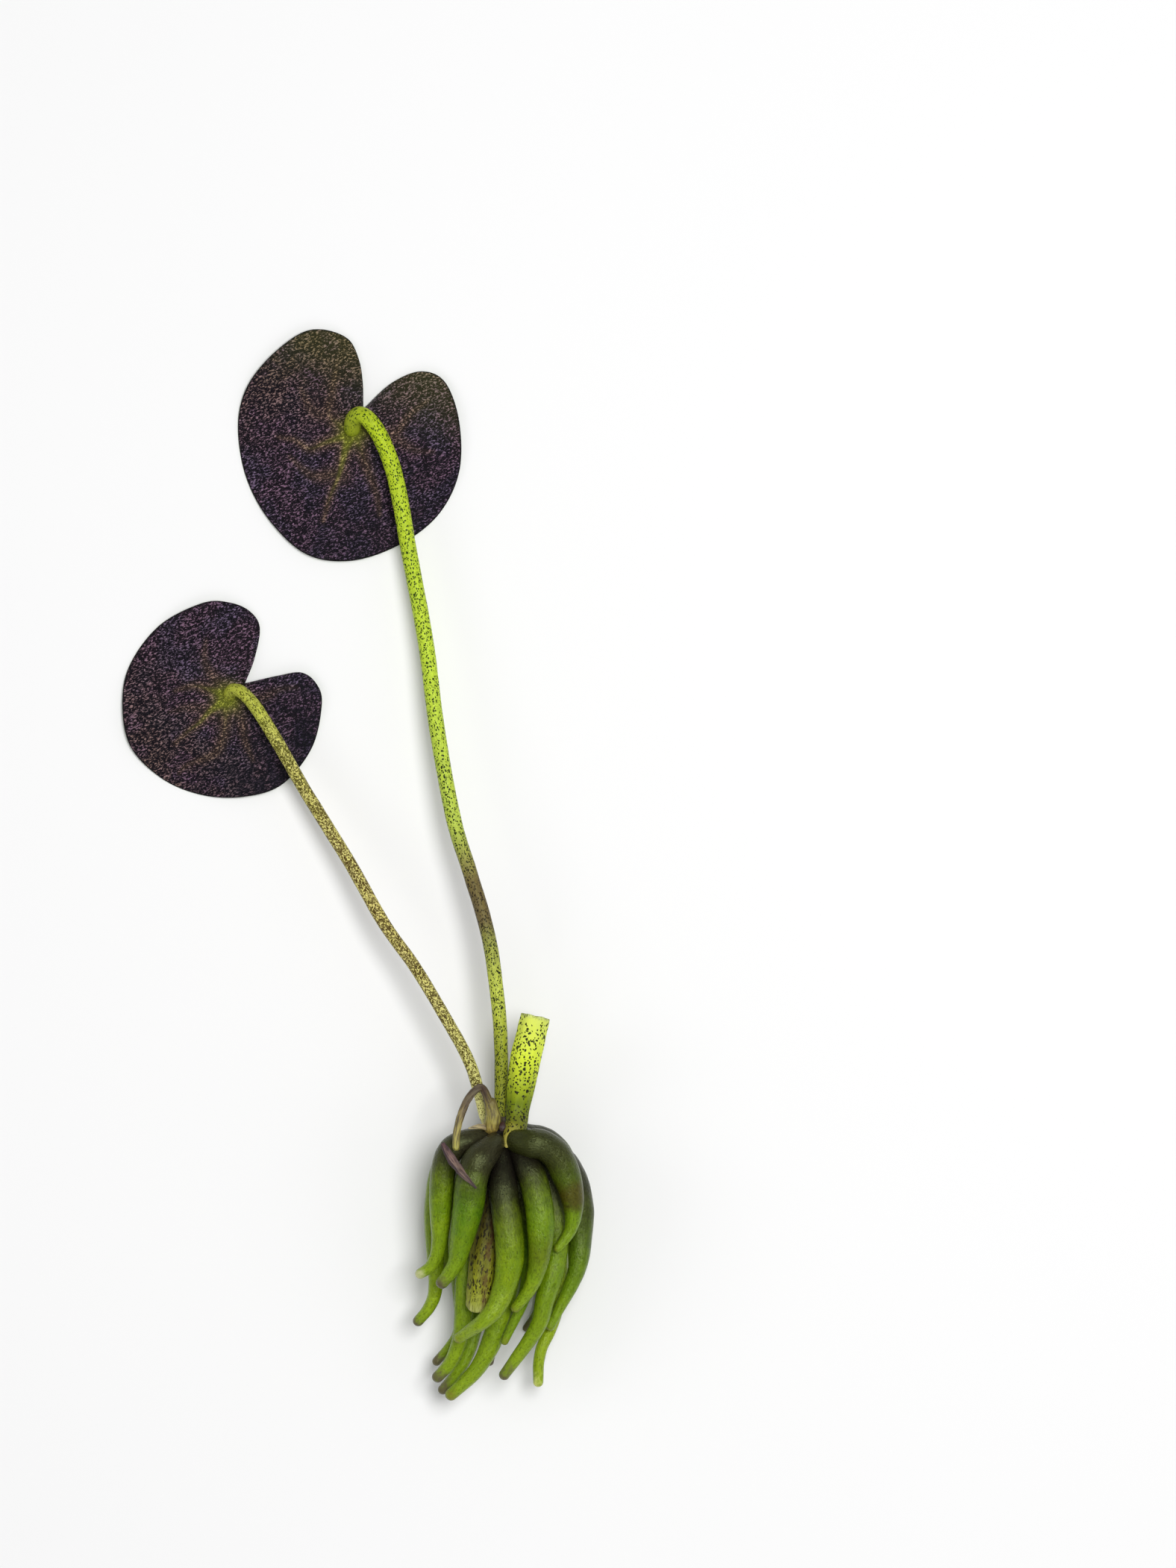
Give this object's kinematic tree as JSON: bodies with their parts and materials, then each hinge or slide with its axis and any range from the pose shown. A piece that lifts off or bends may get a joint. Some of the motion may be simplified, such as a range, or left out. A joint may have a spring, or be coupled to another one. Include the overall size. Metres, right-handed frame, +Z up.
{
  "type": "banana plant",
  "caption": "Picked water plant lying on its side: a bunch of banana-shaped tubers under a short crown, long bent leaf stems, round cleft leaves seen from below, and cut stubs.",
  "frame": {"origin": "bottom centre of the bounding box, on the table that the plant lies on", "axes": "+Y from the tubers towards the leaves, +X to the right as seen from above, +Z up from the table"},
  "size_m": [0.0792, 0.1788, 0.0231],
  "materials": {
    "tuber_skin": "wet, smooth green skin, brown towards the crown and pale at the tips",
    "crown_bark": "dark, rough rootstock",
    "stem_skin": "smooth yellow-green skin with small dark speckles",
    "stub_skin": "ridged green skin with dark speckles and a pale spongy cut",
    "leaf_underside": "finely wrinkled dark purple-brown with paler veins",
    "withered_skin": "dry, pale brown",
    "withered_blade": "dry, shrivelled dark brown"
  },
  "bodies": {
    "root": {"crown": "crown_bark", "petiole_left": "stem_skin", "petiole_tall": "stem_skin", "cut_stub_upper": "stub_skin", "cut_stub_lower": "stub_skin", "withered_stalk": "withered_skin", "withered_leaf": "withered_blade", "tuber_01": "tuber_skin", "tuber_02": "tuber_skin", "tuber_03": "tuber_skin", "tuber_04": "tuber_skin", "tuber_05": "tuber_skin", "tuber_06": "tuber_skin", "tuber_07": "tuber_skin", "tuber_08": "tuber_skin", "tuber_09": "tuber_skin", "tuber_10": "tuber_skin", "tuber_11": "tuber_skin", "tuber_12": "tuber_skin", "tuber_13": "tuber_skin", "tuber_14": "tuber_skin", "tuber_15": "tuber_skin", "tuber_16": "tuber_skin", "tuber_17": "tuber_skin", "tuber_18": "tuber_skin", "tuber_19": "tuber_skin", "tuber_20": "tuber_skin", "leaf_left": "leaf_underside", "leaf_tall": "leaf_underside"}
  },
  "joints": []
}
